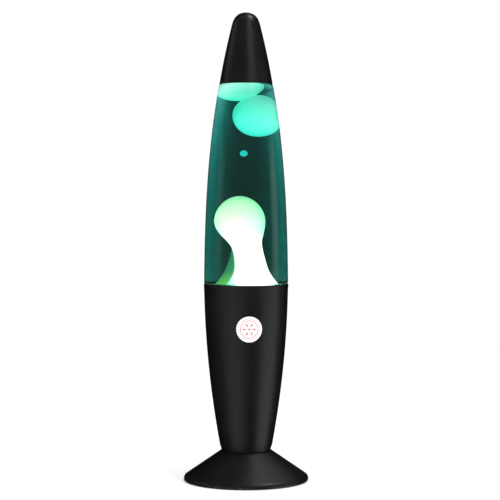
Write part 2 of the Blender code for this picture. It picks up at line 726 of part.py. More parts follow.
def top_cap():
    """Pointed cap with a rounded tip and a turned-in lower edge."""
    edge = near(0, CAP_EDGE_Z, (20.2, 0.4), (20.5, 0), (20.85, 0.1))
    flank = [(cap_radius(z), z) for z in steps(CAP_EDGE_Z + 0.0009, CAP_DOME_Z, 5)]
    shoulder, aim, tip = flank[-1], (0.0083, LAMP_TOP), (0, LAMP_TOP)
    dome = []
    for t in steps(0, 1, 5)[1:]:
        weights = ((1 - t) ** 2, 2 * t * (1 - t), t * t)
        dome.append(tuple(sum(w * p[i] for w, p in zip(weights, (shoulder, aim, tip))) for i in (0, 1)))
    outside = flank + dome
    inside = offset(outside, CAP_WALL)
    inside[-1] = (0, LAMP_TOP - CAP_WALL)
    return turned("top_cap", edge + outside + inside[::-1][:-1], PAINT)


group("base", foot_parts() + supply_parts() + spine_parts() + cup_parts() + socket_parts())
group("globe", globe_parts())
group("bulb", bulb_parts())
group("cap", [top_cap()])
group("drop", [wax_drop()])
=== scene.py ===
"""Looks for the lava lamp: spun and painted metal, the glass globe with its liquid and glowing wax, the
lamp gear inside the base, and the studio round it. Metres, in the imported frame: +Z up, front to -Y."""

import math

import bmesh
import bpy
import numpy as np
from mathutils import Matrix, Vector, noise


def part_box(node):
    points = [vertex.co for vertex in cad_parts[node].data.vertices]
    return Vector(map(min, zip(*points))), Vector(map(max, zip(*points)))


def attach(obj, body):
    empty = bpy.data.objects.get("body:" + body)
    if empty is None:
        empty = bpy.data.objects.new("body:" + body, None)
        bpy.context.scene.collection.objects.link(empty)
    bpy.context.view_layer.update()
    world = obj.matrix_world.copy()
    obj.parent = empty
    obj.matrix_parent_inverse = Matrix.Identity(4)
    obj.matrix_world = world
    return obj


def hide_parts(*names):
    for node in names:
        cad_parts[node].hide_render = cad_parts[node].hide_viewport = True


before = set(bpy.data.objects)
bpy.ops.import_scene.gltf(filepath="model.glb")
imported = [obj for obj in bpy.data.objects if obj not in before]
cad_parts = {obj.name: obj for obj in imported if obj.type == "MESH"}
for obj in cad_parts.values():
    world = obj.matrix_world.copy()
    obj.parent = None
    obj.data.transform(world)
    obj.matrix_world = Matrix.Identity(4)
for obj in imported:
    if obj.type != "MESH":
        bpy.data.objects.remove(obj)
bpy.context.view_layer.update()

MM = 0.001
FINE = 144  # sides of a large turned piece
MEDIUM = 72
SMALL = 40

# Driving dimensions, from the frame.
LIP_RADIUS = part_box("foot_shell")[1].x
RIM_RADIUS, _, RIM_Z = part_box("cup_shell")[1]
CAP_EDGE_Z, LAMP_TOP = (corner.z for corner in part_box("top_cap"))
LIQUID_TOP_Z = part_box("liquid")[1].z
PLATE_SCREWS = [tuple(sum(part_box(f"plate_screw_{i}"), Vector()).to_2d() / 2) for i in (1, 2, 3)]
SHEET = 0.001  # thickness of the spun metal
CAP_WALL = 0.00085
CAP_DOME_Z = LAMP_TOP - 0.0085  # the cap's flank ends here
CAP_EDGE_BEND = 0.0004
CUP_FLOOR_Z = 0.0240
GLASS_WALL = 0.0022
WET = 0.00012  # how far the liquid's skin reaches into the glass, so that no air shows between them
LABEL_Z = sum(corner.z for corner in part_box("front_label")) / 2
LABEL_ANGLE = math.radians(-85.6)
LABEL_RADIUS = 0.010
LABEL_THICKNESS = 0.00015
LABEL_GAP = 0.0002  # between the label and the paint
VENT_ORBIT = 0.0150  # of the holes in the cup's floor
SCREW_HOLE_RADIUS = 0.00125
SOCKET_SCREW_Z = 0.0385
BULB_MIDDLE_Z = 0.0844
BULB_RADIUS = 0.0175
BULB_WALL = 0.0006
SCREW_PITCH = 0.002822  # of the bulb's screw base


# Outlines: (radius, height) pairs in metres.


def around(r, z, angle):
    return r * math.cos(angle), r * math.sin(angle), z


def profile(*points, arc_steps=5):
    """An outline from (radius, height, rounding) in millimetres. A corner with no rounding stays sharp."""
    corners = [Vector(p[:2]) * MM for p in points]
    found = []
    for i, (here, point) in enumerate(zip(corners, points)):
        if len(point) < 3:
            found.append(tuple(here))
            continue
        back, ahead = corners[i - 1] - here, corners[(i + 1) % len(corners)] - here
        setback = min(point[2] * MM, 0.48 * back.length, 0.48 * ahead.length)
        start, end = here + back.normalized() * setback, here + ahead.normalized() * setback
        for t in np.linspace(0, 1, arc_steps + 1):
            found.append(tuple(start * (1 - t) ** 2 + here * 2 * t * (1 - t) + end * t**2))
    return found


def cup_radius(z):
    """The cup's outside, from its floor up."""
    t = (z - 0.024) / 0.127
    return 0.0199 + 0.0240 * t - 0.0108 * t * t


def glass_radius(z):
    """The globe's outside, above the cup's rim."""
    h = (z - 0.156) / 0.156
    return 0.03313 - 0.00157 * h - 0.00407 * h**2 - 0.00645 * h**3


def cap_radius(z):
    """The cap's flank, below its dome."""
    u = (z - CAP_EDGE_Z) / (CAP_DOME_Z - CAP_EDGE_Z)
    return 0.0210 - 0.0080 * u - 0.0022 * u * u


def smooth_curve(points, pieces):
    """Points on a Catmull-Rom curve through the given points, with so many pieces between each pair."""
    vectors = [Vector(p) for p in points]
    padded = [2 * vectors[0] - vectors[1]] + vectors + [2 * vectors[-1] - vectors[-2]]
    found = []
    for a, b, c, d in zip(padded, padded[1:], padded[2:], padded[3:]):
        for t in np.linspace(0, 1, pieces, endpoint=False):
            bend = (2 * a - 5 * b + 4 * c - d) * t**2 + (3 * b - a - 3 * c + d) * t**3
            found.append(0.5 * (2 * b + (c - a) * t + bend))
    return found + [vectors[-1]]


def offset(outline, distance):
    """The outline moved to the left of its direction."""
    moved = []
    for i, here in enumerate(outline):
        before = Vector(outline[max(i - 1, 0)])
        along = (Vector(outline[min(i + 1, len(outline) - 1)]) - before).normalized()
        moved.append((max(here[0] - along.y * distance, 0), here[1] + along.x * distance))
    return moved


# Making pieces.


def keep_mesh(name, bm, finish, sharp=35):
    """Makes an object of a closed mesh. Edges bent by more than sharp degrees stay sharp."""
    bmesh.ops.recalc_face_normals(bm, faces=bm.faces)
    if bm.calc_volume(signed=True) < 0:
        bmesh.ops.reverse_faces(bm, faces=bm.faces)
    mesh = bpy.data.meshes.new(name)
    bm.to_mesh(mesh)
    bm.free()
    mesh.shade_smooth()
    mesh.set_sharp_from_angle(angle=math.radians(sharp))
    if finish:
        mesh.materials.append(finish)
    made = bpy.data.objects.new(name, mesh)
    bpy.context.scene.collection.objects.link(made)
    return made


def turned(name, outline, finish, sides=MEDIUM, shape=None, sharp=35):
    """A closed outline turned round Z. shape takes a point's (radius, z, angle) and gives its (x, y, z)."""
    shape = shape or around
    angles = [math.tau * i / sides for i in range(sides)]
    bm = bmesh.new()
    loops = []
    for r, z in outline:
        if r < 1e-7:
            loops.append([bm.verts.new(shape(0, z, 0))] * sides)
        else:
            loops.append([bm.verts.new(shape(r, z, a)) for a in angles])
    if outline[0][0] > 1e-7 or outline[-1][0] > 1e-7:
        loops.append(loops[0])
    for low, high in zip(loops, loops[1:]):
        for i in range(sides):
            j = (i + 1) % sides
            corners = list(dict.fromkeys((low[i], low[j], high[j], high[i])))
            if len(corners) > 2:
                bm.faces.new(corners)
    return keep_mesh(name, bm, finish, sharp)


def wire(name, points, radius, finish, closed=False):
    """A round wire along points, as a bevelled curve."""
    data = bpy.data.curves.new(name, "CURVE")
    data.dimensions = "3D"
    data.bevel_depth = radius
    data.bevel_resolution = 3
    data.use_fill_caps = True
    spline = data.splines.new("POLY")
    spline.points.add(len(points) - 1)
    for place, target in zip(points, spline.points):
        target.co = (*place, 1)
    spline.use_cyclic_u = closed
    spline.use_smooth = True
    data.materials.append(finish)
    made = bpy.data.objects.new(name, data)
    bpy.context.scene.collection.objects.link(made)
    return made


def box_cutter(size, place, turn_z=0.0):
    """A block to cut with."""
    bm = bmesh.new()
    where = Matrix.Translation(place) @ Matrix.Rotation(turn_z, 4, "Z")
    bmesh.ops.create_cube(bm, size=1, matrix=where @ Matrix.Diagonal((*size, 1)))
    return keep_mesh("cutter", bm, None)


def hole_cutter(radius, length, places, axis="Z"):
    """Rods along an axis to cut round holes with."""
    turn = {"X": Matrix.Rotation(math.pi / 2, 4, "Y"), "Y": Matrix.Rotation(math.pi / 2, 4, "X")}
    bm = bmesh.new()
    for place in places:
        where = Matrix.Translation(place) @ turn.get(axis, Matrix.Identity(4))
        bmesh.ops.create_cone(
            bm, cap_ends=True, segments=32, radius1=radius, radius2=radius, depth=length, matrix=where
        )
    return keep_mesh("cutter", bm, None)


def cut(target, cutter):
    """Cuts target by another object, which is then removed."""
    change = target.modifiers.new("cut", "BOOLEAN")
    change.solver = "EXACT"
    change.object = cutter
    graph = bpy.context.evaluated_depsgraph_get()
    mesh = bpy.data.meshes.new_from_object(target.evaluated_get(graph))
    target.modifiers.clear()
    target.data = mesh
    mesh.set_sharp_from_angle(angle=math.radians(35))
    bpy.data.objects.remove(cutter)
    return target


def ring_of_holes(radius, length, orbit, z, angles):
    """A cutter for holes spaced round Z, at angles in degrees."""
    places = [(orbit * math.cos(math.radians(a)), orbit * math.sin(math.radians(a)), z) for a in angles]
    return hole_cutter(radius, length, places)


def plate_screw_holes(length, z):
    return hole_cutter(SCREW_HOLE_RADIUS, length, [(x, y, z) for x, y in PLATE_SCREWS])


def placed(thing, x=0.0, y=0.0, z=0.0, turn_x=0.0, turn_z=0.0):
    thing.location = (x, y, z)
    thing.rotation_euler = (turn_x, 0, turn_z)
    return thing


def fit(thing, body, slot, *nodes):
    """Puts a finished piece on its body, in place of its CAD nodes."""
    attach(thing, body)
    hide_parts(*(nodes or [thing.name.removesuffix("_fine")]))


# Materials. Each is worked out by nodes on the piece's own coordinates.


def tree_maths(tree, what, a, b):
    """A maths node. A value that is a socket is linked."""
    made = tree.nodes.new("ShaderNodeMath")
    made.operation = what
    for socket, value in zip(made.inputs, (a, b)):
        if isinstance(value, bpy.types.NodeSocket):
            tree.links.new(value, socket)
        else:
            socket.default_value = value
    return made.outputs[0]


class Nodes:
    """A new material, with short ways to add nodes to it."""

    def __init__(self, name, **values):
        self.material = bpy.data.materials.new(name)
        self.material.use_nodes = True
        self.tree = self.material.node_tree
        self.shader = self.tree.nodes["Principled BSDF"]
        self.output = self.tree.nodes["Material Output"]
        self.set(self.shader, **values)
        self.place = self.add("ShaderNodeTexCoord").outputs["Object"]

    def set(self, node, **values):
        """Sockets by name, with _ for a space. A value that is a socket is linked."""
        for key, value in values.items():
            socket = node.inputs[key.replace("_", " ")]
            if isinstance(value, bpy.types.NodeSocket):
                self.tree.links.new(value, socket)
            elif socket.type == "RGBA":
                socket.default_value = (*value, 1)
            else:
                socket.default_value = value

    def add(self, kind, props=None, **values):
        node = self.tree.nodes.new(kind)
        for key, value in (props or {}).items():
            setattr(node, key, value)
        self.set(node, **values)
        return node

    def noise(self, scale, detail=2.0, place=None):
        made = self.add("ShaderNodeTexNoise", Vector=place or self.place, Scale=scale, Detail=detail)
        return made.outputs["Fac"]

    def stretched(self, x=1.0, y=1.0, z=1.0):
        made = self.add("ShaderNodeMapping", Vector=self.place)
        made.inputs["Scale"].default_value = (x, y, z)
        return made.outputs["Vector"]

    def spread(self, value, low, high, to_low=0.0, to_high=1.0):
        """The value, moved from the range low to high into the range to_low to to_high and kept there."""
        made = self.add("ShaderNodeMapRange", Value=value)
        for key, number in (("From Min", low), ("From Max", high), ("To Min", to_low), ("To Max", to_high)):
            made.inputs[key].default_value = number
        return made.outputs["Result"]

    def blend(self, factor, first, second):
        made = self.add("ShaderNodeMix", {"data_type": "RGBA"})
        for socket, value in zip((0, 6, 7), (factor, first, second)):
            if isinstance(value, bpy.types.NodeSocket):
                self.tree.links.new(value, made.inputs[socket])
            elif socket:
                made.inputs[socket].default_value = (*value, 1)
            else:
                made.inputs[socket].default_value = value
        return made.outputs[2]

    def maths(self, what, a, b=0.0):
        return tree_maths(self.tree, what, a, b)

    def times(self, a, b):
        return self.maths("MULTIPLY", a, b)

    def split(self):
        return self.add("ShaderNodeSeparateXYZ", Vector=self.place).outputs

    def from_middle(self, x, y):
        return self.maths("SQRT", self.maths("ADD", self.times(x, x), self.times(y, y)))

    def bump(self, height, distance, strength):
        made = self.add("ShaderNodeBump", Height=height, Distance=distance, Strength=strength)
        self.set(self.shader, Normal=made.outputs["Normal"])

    def ramp(self, value, stops):
        """A colour for each place along a value from 0 to 1."""
        made = self.add("ShaderNodeValToRGB", Fac=value)
        band = made.color_ramp
        while len(band.elements) < len(stops):
            band.elements.new(0.5)
        for element, (where, colour) in zip(band.elements, stops):
            element.position = where
            element.color = (*colour, 1)
        return made.outputs["Color"]


def paint():
    """Satin black enamel: faint orange peel, uneven gloss, and a foot rubbed along the edge of its lip."""
    n = Nodes("satin_black_enamel", IOR=1.5)
    patches = n.noise(45, 3)
    dust = n.noise(900, 2)
    near_the_lip = n.spread(n.split()["Z"], 0.0024, 0.0008)
    worn = n.times(near_the_lip, n.spread(n.noise(420, 4), 0.56, 0.70))
    black = n.blend(n.spread(patches, 0.3, 0.7), (0.0045, 0.0045, 0.0047), (0.0065, 0.0065, 0.0068))
    n.set(n.shader, Base_Color=n.blend(worn, black, (0.07, 0.07, 0.07)))
    gloss = n.maths("ADD", n.spread(patches, 0.3, 0.7, 0.33, 0.37), n.spread(dust, 0.3, 0.7, -0.02, 0.03))
    n.set(n.shader, Roughness=gloss)
    n.bump(n.noise(1500, 2), 0.00002, 0.5)
    return n.material


def metal(name, dull, bright, roughness, scratch=220.0):
    """Plated or drawn metal with fine lines round it."""
    n = Nodes(name, Metallic=1.0)
    lines = n.noise(scratch, 3, n.stretched(0.15, 0.15, 6.0))
    stain = n.noise(90, 3)
    n.set(n.shader, Base_Color=n.blend(n.spread(stain, 0.35, 0.65), dull, bright))
    n.set(n.shader, Roughness=n.spread(lines, 0.3, 0.7, roughness - 0.07, roughness + 0.07))
    n.bump(lines, 0.00002, 0.3)
    return n.material


def moulded(name, dark, light, roughness, grain=1200.0, depth=0.00002):
    """Moulded plastic or rubber with a fine grain."""
    n = Nodes(name)
    patches = n.noise(60, 3)
    n.set(n.shader, Base_Color=n.blend(n.spread(patches, 0.35, 0.65), dark, light))
    n.set(n.shader, Roughness=n.spread(patches, 0.3, 0.7, roughness - 0.04, roughness + 0.05))
    n.bump(n.noise(grain, 2), depth, 0.5)
    return n.material


def clear_glass(name, colour, ripple):
    """Blown glass, with a slow ripple in its surface."""
    n = Nodes(name, Base_Color=colour, Roughness=0.0, IOR=1.5, Transmission_Weight=1.0)
    n.bump(n.noise(30, 1, n.stretched(1, 1, 0.25)), ripple, 0.6)
    return n.material


def wet_glass():
    """The glass's inner face where the liquid wets it, which all but stops it reflecting."""
    n = Nodes("wet_glass", Roughness=0.0, IOR=1.5, Transmission_Weight=1.0, Base_Color=(1, 1, 1))
    n.set(n.shader, Specular_Tint=(0, 0, 0))
    return n.material


def teal_liquid():
    """Clear liquid that takes the red out of light first."""
    n = Nodes("teal_liquid", Base_Color=(1, 1, 1), Roughness=0.0, IOR=1.33, Transmission_Weight=1.0)
    n.set(n.shader, Specular_Tint=(0, 0, 0))
    deep = n.add("ShaderNodeVolumeAbsorption", Color=(0.0, 0.60, 0.56), Density=112.0)
    n.tree.links.new(deep.outputs["Volume"], n.output.inputs["Volume"])
    return n.material


# Wax. Its glow is painted light: emission that stands for the bulb's light in the wax, given by height, as
# (height, colour). Red is strong low down, where the liquid in front takes out most of it. Behind the column
# stands a shelf of wax with a glow of its own, made dimmer as painted shade.
WAX_PAINTED_GLOW_STRENGTH = 24.0
WAX_BASE_Z, WAX_TOP_Z = 0.150, 0.330
WAX_PAINTED_GLOW_COLOURS = (
    (0.150, (0.20, 0.210, 0.180)),
    (0.155, (0.32, 0.210, 0.170)),
    (0.163, (1.00, 0.210, 0.170)),
    (0.187, (0.90, 0.200, 0.160)),
    (0.195, (0.27, 0.125, 0.098)),
    (0.200, (0.20, 0.108, 0.078)),
    (0.212, (0.165, 0.106, 0.064)),
    (0.221, (0.175, 0.112, 0.060)),
    (0.256, (0.005, 0.060, 0.057)),
    (0.276, (0.0115, 0.061, 0.049)),
    (0.290, (0.0082, 0.0500, 0.0365)),
    (0.306, (0.0170, 0.0440, 0.0335)),
)
SHELF_TOP = 0.1870
SHELF_REACH = 0.0125
SHELF_ANGLE = math.radians(130)
# The shelf's glow by height: far dimmer than the column's, as painted shade on the wax behind.
SHELF_PAINTED_SHADE_COLOURS = (
    (0.0, (0.30, 0.130, 0.024)),
    (0.4, (0.060, 0.048, 0.022)),
    (0.8, (0.045, 0.034, 0.018)),
    (1.0, (0.06, 0.02, 0.012)),
)


def wax():
    """Translucent wax with the lamp's light painted in as emission: white low down, green, then aqua near the
    top.
    """
    n = Nodes("glowing_wax", Roughness=0.35, IOR=1.44)
    x, _, z = n.split()
    tall = WAX_TOP_Z - WAX_BASE_Z
    stops = [((height - WAX_BASE_Z) / tall, colour) for height, colour in WAX_PAINTED_GLOW_COLOURS]
    front = n.ramp(n.spread(z, WAX_BASE_Z, WAX_TOP_Z), stops)
    behind = n.ramp(n.spread(z, WAX_BASE_Z, SHELF_TOP), SHELF_PAINTED_SHADE_COLOURS)
    shelf = n.add("ShaderNodeAttribute", {"attribute_name": "shelf"}).outputs["Fac"]
    glow = n.blend(shelf, front, behind)
    # The painted glow sets the emission and half the base colour.
    n.set(n.shader, Base_Color=n.blend(0.5, glow, (0.5, 0.6, 0.55)), Emission_Color=glow)
    cloud = n.spread(n.noise(70, 3), 0.3, 0.7, 0.94, 1.05)
    # Painted shading: faces turned down glow brighter and faces turned up dimmer, as if lit by the bulb
    # below.
    up = n.add("ShaderNodeSeparateXYZ", Vector=n.add("ShaderNodeNewGeometry").outputs["Normal"]).outputs["Z"]
    painted_underlight = n.spread(up, -1.0, 1.0, 1.35, 0.90)
    # Painted shading: the wax low down, in the column, glows up to a quarter more toward its right, and the
    # ball glows more on its left and less on its right, as light falls on them.
    column = n.times(n.spread(z, 0.240, 0.230), n.spread(x, -0.012, 0.012, 0.0, 0.25))
    at_the_ball = n.times(n.spread(z, 0.256, 0.266), n.spread(z, 0.304, 0.298))
    ball = n.times(at_the_ball, n.spread(x, -0.006, 0.020, 0.20, -0.22))
    painted_side_light = n.maths("ADD", ball, n.maths("ADD", column, 1.0))
    strength = n.times(n.times(cloud, painted_underlight), painted_side_light)
    n.set(n.shader, Emission_Strength=n.times(strength, WAX_PAINTED_GLOW_STRENGTH))
    return n.material


def label_print():
    """White coated label with a plain ornament of thin pink rings, ticks and dots."""
    n = Nodes("printed_label", Roughness=0.42)
    x, y, _ = n.split()
    reach = n.from_middle(x, y)
    turn = n.maths("ARCTAN2", y, x)

    def ring(radius, width):
        """A ring of ink, in millimetres, with a slightly soft edge."""
        away = n.maths("ABSOLUTE", n.maths("SUBTRACT", reach, radius * MM))
        return n.spread(away, width * MM / 2 + 0.00004, width * MM / 2 - 0.00004)

    def ticks(count, share):
        """Sectors of ink, each filling that share of its part of the circle."""
        wave = n.maths("COSINE", n.times(turn, float(count)))
        edge = math.cos(math.pi * share)
        return n.spread(wave, edge - 0.04, edge + 0.04)

    marks = ring(6.7, 0.55)
    band = n.times(ring(8.2, 0.80), ticks(24, 0.36))
    petals = n.times(ring(3.6, 2.6), ticks(6, 0.30))
    dot = ring(0.0, 1.7)
    for other in (band, petals, dot):
        marks = n.maths("MAXIMUM", marks, other)
    ink = n.times(marks, n.spread(n.noise(2500, 2), 0.2, 0.8, 0.75, 1.0))
    white = n.blend(n.noise(120, 2), (0.86, 0.855, 0.85), (0.92, 0.915, 0.91))
    n.set(n.shader, Base_Color=n.blend(ink, white, (0.62, 0.10, 0.15)))
    n.bump(n.noise(1600, 2), 0.00001, 0.4)
    return n.material


PAINT = paint()
GLOBE_GLASS = clear_glass("blown_globe_glass", (0.97, 1.0, 0.99), 0.000006)
WET_GLASS = wet_glass()
BULB_GLASS = clear_glass("clear_bulb_glass", (0.99, 0.99, 0.99), 0.00001)
LIQUID = teal_liquid()
WAX = wax()
LABEL = label_print()
ZINC = metal("zinc_plated_steel", (0.50, 0.51, 0.53), (0.66, 0.67, 0.69), 0.34)
SPRING = metal("spring_steel_wire", (0.42, 0.42, 0.43), (0.60, 0.60, 0.61), 0.30, 600)
BRASS = metal("bright_brass", (0.66, 0.47, 0.20), (0.82, 0.62, 0.32), 0.28)
NICKEL = metal("nickel_plated_brass", (0.60, 0.58, 0.53), (0.74, 0.72, 0.67), 0.24)
TUNGSTEN = metal("drawn_tungsten", (0.20, 0.19, 0.18), (0.34, 0.33, 0.32), 0.42, 900)
PHENOLIC = moulded("black_phenolic", (0.018, 0.016, 0.014), (0.032, 0.029, 0.027), 0.36)
PLASTIC = moulded("black_moulded_plastic", (0.014, 0.014, 0.014), (0.026, 0.026, 0.026), 0.55, 700, 0.00006)
NYLON = moulded("natural_nylon", (0.70, 0.68, 0.60), (0.82, 0.80, 0.73), 0.42)
RUBBER = moulded("black_rubber", (0.012, 0.012, 0.012), (0.028, 0.028, 0.027), 0.78, 900, 0.00005)
SILICONE = moulded("milky_silicone", (0.66, 0.68, 0.66), (0.78, 0.80, 0.78), 0.38)
BLACK_LEAD = moulded("black_insulation", (0.014, 0.014, 0.014), (0.024, 0.024, 0.024), 0.45)
WHITE_LEAD = moulded("white_insulation", (0.74, 0.74, 0.71), (0.84, 0.84, 0.82), 0.45)


# The painted shells.


def foot():
    """Spun foot: straight flank, rolled lip and turned-in flange, notched at the back for the inlet bush."""
    lip = LIP_RADIUS / MM
    outline = profile(
        (5.2, 23.7),
        (19.9, 23.7, 0.6),
        (lip - 3.6, 5.95, 2.2),
        (lip - 0.35, 3.70, 1.3),
        (lip, 1.9, 0.8),
        (lip - 0.05, 0.6, 0.6),
        (lip - 2.5, 0.6, 0.6),
        (lip - 2.5, 3.7, 0.4),
        (39.0, 3.7, 0.3),
        (39.0, 4.7, 0.3),
        (44.9, 4.7, 0.4),
        (19.8, 22.7, 0.6),
        (5.2, 22.7),
    )
    made = turned("foot_shell_fine", outline, PAINT, FINE)
    cut(made, inlet_notch())
    cut(made, plate_screw_holes(0.003, 0.004))
    fit(made, "base", "paint")


def inlet_arch(name, half_width, top_z, low_z, near_y, far_y, finish):
    """A round-topped block along Y, in millimetres."""
    crown = [math.radians(a) for a in range(0, 181, 10)]
    middle_z = top_z - half_width
    outline = [(half_width, low_z)]
    outline += [(half_width * math.cos(a), middle_z + half_width * math.sin(a)) for a in crown]
    outline.append((-half_width, low_z))
    bm = bmesh.new()
    face = bm.faces.new([bm.verts.new((x * MM, near_y * MM, z * MM)) for x, z in outline])
    grown = bmesh.ops.extrude_face_region(bm, geom=[face])
    moved = [v for v in grown["geom"] if isinstance(v, bmesh.types.BMVert)]
    bmesh.ops.translate(bm, verts=moved, vec=(0, (far_y - near_y) * MM, 0))
    return keep_mesh(name, bm, finish)


def inlet_notch():
    """What the inlet bush needs cut out of the foot and the bottom plate, with a little play."""
    return inlet_arch("cutter", 3.8, 8.9, -2.0, 37.5, 52.0, None)


def cup():
    """Spun cup: thin floor, swelling wall and a rolled rim."""
    heights = np.linspace(0.0285, 0.1500, 46)
    rim, top, floor_z, sheet = RIM_RADIUS / MM, RIM_Z / MM, CUP_FLOOR_Z / MM, SHEET / MM
    floor = profile((5.2, floor_z), (19.75, floor_z, 0.5))
    bead = profile(
        (rim, top - 4.0),
        (rim, top - 0.02, 0.55),
        (rim - 0.65, top + 0.07, 0.4),
        (rim - 1.3, top - 0.05, 0.5),
        (rim - 1.3, top - 1.0, 0.3),
    )[1:]
    inside_floor = profile((18.75, floor_z + sheet, 0.6), (5.2, floor_z + sheet))
    wall = [(cup_radius(z), z) for z in heights]
    inside = [(cup_radius(z) - SHEET, z) for z in heights[::-1]]
    made = turned("cup_shell_fine", floor + wall + bead + inside + inside_floor, PAINT, FINE)
    cut(made, ring_of_holes(0.0016, 0.004, VENT_ORBIT, CUP_FLOOR_Z + SHEET / 2, range(30, 390, 60)))
    fit(made, "base", "paint")


def cap():
    """Spun cap: straight flank into a rounded tip, with a turned-in edge."""
    bend, bend_z = CAP_EDGE_BEND, CAP_EDGE_Z + CAP_EDGE_BEND
    edge = [(0.0202, bend_z)]
    edge += [(0.02065 - bend * math.cos(a), bend_z - bend * math.sin(a)) for a in np.linspace(0.4, 2.6, 6)]
    flank = [(cap_radius(z), z) for z in np.linspace(CAP_EDGE_Z + 0.0009, CAP_DOME_Z, 24)]
    shoulder, aim, tip = Vector(flank[-1]), Vector((0.0083, LAMP_TOP)), Vector((0, LAMP_TOP))
    steps = np.linspace(0, 1, 17)[1:]
    dome = [tuple(shoulder * (1 - t) ** 2 + aim * 2 * t * (1 - t) + tip * t * t) for t in steps]
    outside = flank + dome
    inside = offset(outside, CAP_WALL)
    inside[-1] = (0, LAMP_TOP - CAP_WALL)
    fit(turned("top_cap_fine", edge + outside + inside[::-1][:-1], PAINT, FINE), "cap", "paint")


def label():
    """Thin round label, curved with the cup, with its rim pressed down."""
    sides, rings, inner, outer = 96, 14, LABEL_GAP, LABEL_GAP + LABEL_THICKNESS
    middle = Vector(around(cup_radius(LABEL_Z), LABEL_Z, LABEL_ANGLE))
    across = Vector((-math.sin(LABEL_ANGLE), math.cos(LABEL_ANGLE), 0))
    outward = Vector((math.cos(LABEL_ANGLE), math.sin(LABEL_ANGLE), 0))
    there = Matrix.Translation(middle) @ Matrix((across, Vector((0, 0, 1)), outward)).transposed().to_4x4()
    home = there.inverted()
    bm = bmesh.new()

    def point(share, i, stand_off):
        a = math.tau * i / sides
        z = LABEL_Z + LABEL_RADIUS * share * math.sin(a)
        turn = LABEL_ANGLE + LABEL_RADIUS * share * math.cos(a) / cup_radius(LABEL_Z)
        return bm.verts.new(home @ Vector(around(cup_radius(z) + stand_off, z, turn)))

    shares = [k / rings for k in range(1, rings + 1)]
    loops = [[point(s, i, inner + LABEL_THICKNESS * (1 - s**30 * 0.5)) for i in range(sides)] for s in shares]
    loops += [[point(s, i, inner) for i in range(sides)] for s in shares[::-1]]
    for one, other in zip(loops, loops[1:]):
        for i in range(sides):
            bm.faces.new((one[i], one[(i + 1) % sides], other[(i + 1) % sides], other[i]))
    for pole, loop in ((point(0, 0, outer), loops[0]), (point(0, 0, inner), loops[-1])):
        for i in range(sides):
            bm.faces.new((loop[i], loop[(i + 1) % sides], pole))
    made = keep_mesh("front_label_fine", bm, LABEL)
    made.matrix_world = there
    fit(made, "base", "label")


# The globe.


HEEL_TOP_Z = 0.1300  # the globe's rounded heel ends here
GLOBE_FLOOR_Z = 0.1208  # between the two faces of its floor
WAX_GAP = 0.0003  # kept between wax and glass


def inside_outline():
    """The glass's inner face, from the middle of its floor up to the mouth."""
    floor = [tuple(v) for v in smooth_curve([(0, 0.1218), (0.012, 0.1216), (0.0226, 0.1214)], 4)]
    heel = [tuple(v) for v in smooth_curve([(0.0226, 0.1214), (0.0264, 0.1236), (0.0282, 0.1290)], 5)][1:]
    lower = [tuple(v) for v in smooth_curve([(0.0282, 0.1290), (0.0301, 0.1510), (0.0306, 0.1555)], 5)][1:]
    wall = [(glass_radius(z) - GLASS_WALL, z) for z in np.linspace(0.1600, 0.3060, 44)]
    neck = [(0.0174, 0.3114), (0.0152, 0.3174), (0.0118, 0.3233), (0.0080, 0.3290)]
    neck = [tuple(v) for v in smooth_curve([wall[-1]] + neck, 5)][1:]
    return floor + heel + lower + wall + neck


def outside_outline():
    """The glass's outer face, from the middle of its hollowed bottom up to the mouth."""
    bottom = [tuple(v) for v in smooth_curve([(0, 0.1194), (0.012, 0.1192), (0.0220, 0.1186)], 4)]
    heel = [(0.0220, 0.1186), (0.0250, 0.1180), (0.0283, 0.1190), (0.0302, 0.1236), (0.0314, 0.1400)]
    heel = [tuple(v) for v in smooth_curve(heel, 5)][1:]
    shoulder = [(0.03165, 0.1500), (0.03175, 0.1529), (0.0319, 0.1549), (0.0323, 0.15545), (0.0330, 0.15585)]
    shoulder = [tuple(v) for v in smooth_curve(shoulder, 4)]
    wall = [(glass_radius(z), z) for z in np.linspace(0.1590, 0.3104, 46)]
    neck = [(0.0207, 0.3111), (0.0196, 0.3121), (0.0176, 0.3176), (0.0150, 0.3228), (0.0126, 0.3270)]
    neck = [tuple(v) for v in smooth_curve([wall[-1]] + neck, 4)][1:]
    mouth = profile(
        (12.5, 328.6, 0.4),
        (13.3, 329.6, 0.5),
        (13.3, 332.9, 0.5),
        (12.6, 334.0, 0.5),
        (8.0, 334.0, 0.6),
    )
    return bottom + heel + shoulder + wall + neck + mouth


def globe():
    """Thick blown wall. Its inner face has a slot of its own, as far up as the liquid reaches."""
    made = turned("glass_globe_fine", outside_outline() + inside_outline()[::-1], GLOBE_GLASS, FINE, sharp=60)
    made.data.materials.append(WET_GLASS)
    for face in made.data.polygons:
        z = face.center.z
        middle_of_wall = wall_limit(z) + WAX_GAP + 0.0008
        inner = face.center.to_2d().length < middle_of_wall if z > HEEL_TOP_Z else z > GLOBE_FLOOR_Z
        face.material_index = int(inner and z < LIQUID_TOP_Z)
    fit(made, "globe", "globe_glass")


def liquid():
    """The liquid wets the glass, and its top has a meniscus."""
    skin = [p for p in offset(inside_outline(), -WET) if p[1] < LIQUID_TOP_Z]
    edge = skin[-1][0]
    steps_in = (0.0002, 0.0005, 0.001, 0.002, 0.004)
    meniscus = [(edge - d, LIQUID_TOP_Z + 0.0006 * math.exp(-d / 0.0007)) for d in steps_in]
    outline = skin + meniscus + [(0, LIQUID_TOP_Z)]
    outline[0] = (0, outline[0][1])
    fit(turned("liquid_fine", outline, LIQUID, FINE, sharp=60), "globe", "liquid")


